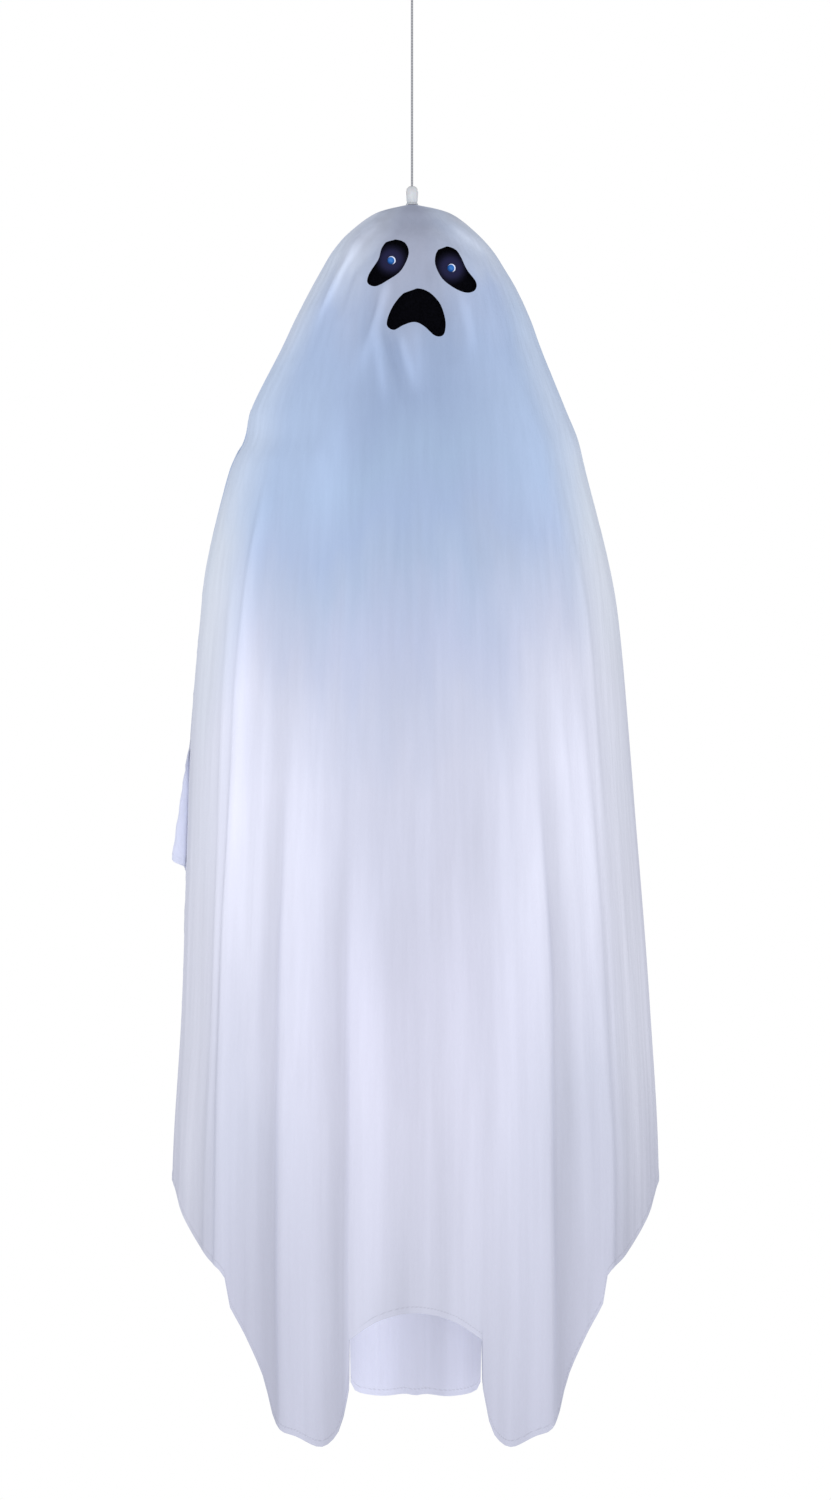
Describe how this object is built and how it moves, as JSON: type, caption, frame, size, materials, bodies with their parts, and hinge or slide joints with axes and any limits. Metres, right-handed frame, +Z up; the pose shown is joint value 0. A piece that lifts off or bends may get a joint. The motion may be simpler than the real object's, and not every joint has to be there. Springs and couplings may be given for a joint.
{
  "type": "animated hanging ghost",
  "caption": "Hanging cloth ghost with a sad cut-out face, lit blue eyes and a lit chest; a gearmotor in its head turns it on the spindle that its cord holds.",
  "frame": {"origin": "top of the hanging ring's bore, where a hook carries it", "axes": "+Z up along the cord and the spindle, -Y the way the face looks, +X the ghost's own left"},
  "size_m": [0.6052, 0.3788, 1.8314],
  "materials": {
    "shroud_cloth": "matt thin woven cloth",
    "face_mesh": "black mesh",
    "pale_abs": "satin moulded",
    "head_abs": "matt moulded",
    "black_abs": "fine texture",
    "grey_abs": "fine texture",
    "acetal": "smooth moulded",
    "steel": "plated",
    "cord": "braided",
    "blue_led": "clear blue dome",
    "frosted": "frosted, lit from inside",
    "laminate": "green laminate",
    "cell": "sleeved",
    "nickel": "nickel plated",
    "cable": "matt sleeve"
  },
  "bodies": {
    "hanger": {"hanging_ring": "steel"},
    "cord": {"cord_loop": "cord", "hanging_cord": "cord", "crimp_sleeve": "steel", "crown_ferrule": "pale_abs", "ferrule_pin": "steel", "hanging_spindle": "steel", "thrust_washer": "acetal", "drive_gear": "acetal", "spindle_clip": "steel"},
    "pinion": {"drive_pinion": "acetal", "motor_shaft": "steel"},
    "mode_switch": {"mode_switch_knob": "black_abs"},
    "try_me": {"try_me_button": "black_abs"},
    "battery_door": {"battery_door": "grey_abs", "door_screw": "steel"},
    "ghost": {"arm_hub": "black_abs", "back_cape": "shroud_cloth", "battery_cell_1": "cell", "battery_cell_2": "cell", "battery_cell_3": "cell", "circuit_board": "laminate", "contact_lower": "nickel", "contact_upper": "nickel", "control_box": "grey_abs", "control_lid": "grey_abs", "cover_screw_1": "steel", "cover_screw_2": "steel", "crown_bush": "pale_abs", "door_pin": "steel", "drape_arm_back": "grey_abs", "drape_arm_front": "grey_abs", "drape_arm_left": "grey_abs", "drape_arm_right": "grey_abs", "drive_cover": "black_abs", "drive_housing": "black_abs", "eye_holder_left": "black_abs", "eye_holder_right": "black_abs", "eye_light_left": "blue_led", "eye_light_right": "blue_led", "face_liner": "face_mesh", "gear_motor": "steel", "head_back_shell": "head_abs", "head_front_shell": "head_abs", "head_screw_left": "steel", "head_screw_right": "steel", "lid_screw_left": "steel", "lid_screw_right": "steel", "light_board": "laminate", "light_cap": "black_abs", "light_collar": "black_abs", "light_diffuser": "frosted", "neck_bolt": "steel", "neck_post": "grey_abs", "post_cable": "cable", "shoulder_hoop": "steel", "shroud_back": "shroud_cloth", "shroud_front": "shroud_cloth", "sound_sensor": "nickel", "speaker": "black_abs"}
  },
  "joints": [
    {"name": "cord_swing", "type": "hinge", "parent": "hanger", "child": "cord", "pos_m": [0, 0, -0.0215], "axis": [0, 1, 0], "range_deg": [-30, 30]},
    {"name": "body_turn", "type": "hinge", "parent": "cord", "child": "ghost", "pos_m": [0, 0, -0.31805], "axis": [0, 0, 1], "continuous": true},
    {"name": "pinion_spin", "type": "hinge", "parent": "ghost", "child": "pinion", "pos_m": [0, 0.03015, -0.37], "axis": [0, 0, 1], "continuous": true},
    {"name": "mode_switch_slide", "type": "slide", "parent": "ghost", "child": "mode_switch", "axis": [1, 0, 0], "range_m": [0, 0.004]},
    {"name": "try_me_press", "type": "slide", "parent": "ghost", "child": "try_me", "axis": [0, 0, 1], "range_m": [0, 0.002], "stiffness_N_per_m": 500},
    {"name": "battery_door_hinge", "type": "hinge", "parent": "ghost", "child": "battery_door", "pos_m": [0, 0.031, -0.82835], "axis": [-1, 0, 0], "range_deg": [0, 110]}
  ],
  "couplings": [
    {"joint": "pinion_spin", "follows": "body_turn", "ratio": 3}
  ]
}
